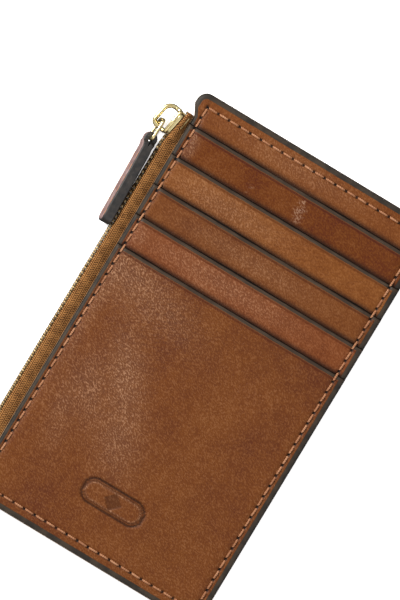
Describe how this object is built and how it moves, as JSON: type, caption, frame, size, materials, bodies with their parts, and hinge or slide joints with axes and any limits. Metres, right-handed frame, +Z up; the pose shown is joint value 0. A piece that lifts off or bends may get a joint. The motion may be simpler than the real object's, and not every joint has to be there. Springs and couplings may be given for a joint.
{
  "type": "zippered pouch",
  "caption": "Flat leather pouch with a metal zip along one long side, card slots across its front, and a folded leather pull tab on the zip slider.",
  "frame": {"origin": "centre of the flat back, on the surface that the pouch lies on", "axes": "+Z up through the card slots, +Y along the length towards the end with the first slot, -X towards the zip side"},
  "size_m": [0.1069, 0.166, 0.0101],
  "materials": {
    "leather_panel": "brown waxed full-grain leather with dark painted edges",
    "leather_tab": "brown waxed leather, two layers, dark painted edge",
    "lining_cloth": "plain dark brown woven lining",
    "stiffener_board": "thin board, hidden between the linings",
    "zip_tape": "brown herringbone woven tape",
    "zip_teeth": "dull antique brass",
    "gold_metal": "polished pale gold plating",
    "thread": "waxed tan thread"
  },
  "bodies": {
    "pouch": {"back_panel": "leather_panel", "back_lining": "lining_cloth", "front_lining": "lining_cloth", "pocket_base": "stiffener_board", "top_strip": "leather_panel", "card_pocket_1": "leather_panel", "card_pocket_2": "leather_panel", "card_pocket_3": "leather_panel", "card_pocket_4": "leather_panel", "front_panel": "leather_panel", "pocket_lining_1": "lining_cloth", "pocket_lining_2": "lining_cloth", "pocket_lining_3": "lining_cloth", "pocket_lining_4": "lining_cloth", "zip_tape_front": "zip_tape", "zip_tape_back": "zip_tape", "zip_teeth_front": "zip_teeth", "zip_teeth_back": "zip_teeth", "zip_top_stops": "zip_teeth", "zip_bottom_stop": "zip_teeth", "seam_stitching_top": "thread", "seam_stitching_side": "thread", "seam_stitching_bottom": "thread", "zip_stitching_front": "thread", "zip_stitching_back": "thread"},
    "slider": {"slider_body": "gold_metal", "slider_bridge": "gold_metal"},
    "link": {"puller_link": "gold_metal"},
    "pull_tab": {"pull_tab_leather": "leather_tab", "pull_tab_stitching": "thread"}
  },
  "joints": [
    {"name": "zip_slide", "type": "slide", "parent": "pouch", "child": "slider", "axis": [-0.0096, -1, 0], "range_m": [0, 0.132], "deforming": ["zip_tape_front", "zip_tape_back", "zip_teeth_front", "zip_teeth_back"]},
    {"name": "link_swing", "type": "hinge", "parent": "slider", "child": "link", "pos_m": [-0.05545, 0.0663, 0.0055], "axis": [0.225, 0, 0.9744], "range_deg": [-90, 0]},
    {"name": "tab_swing", "type": "hinge", "parent": "link", "child": "pull_tab", "pos_m": [-0.05569, 0.0582, 0.00556], "axis": [0.225, 0, 0.9744], "range_deg": [-90, 0]}
  ]
}
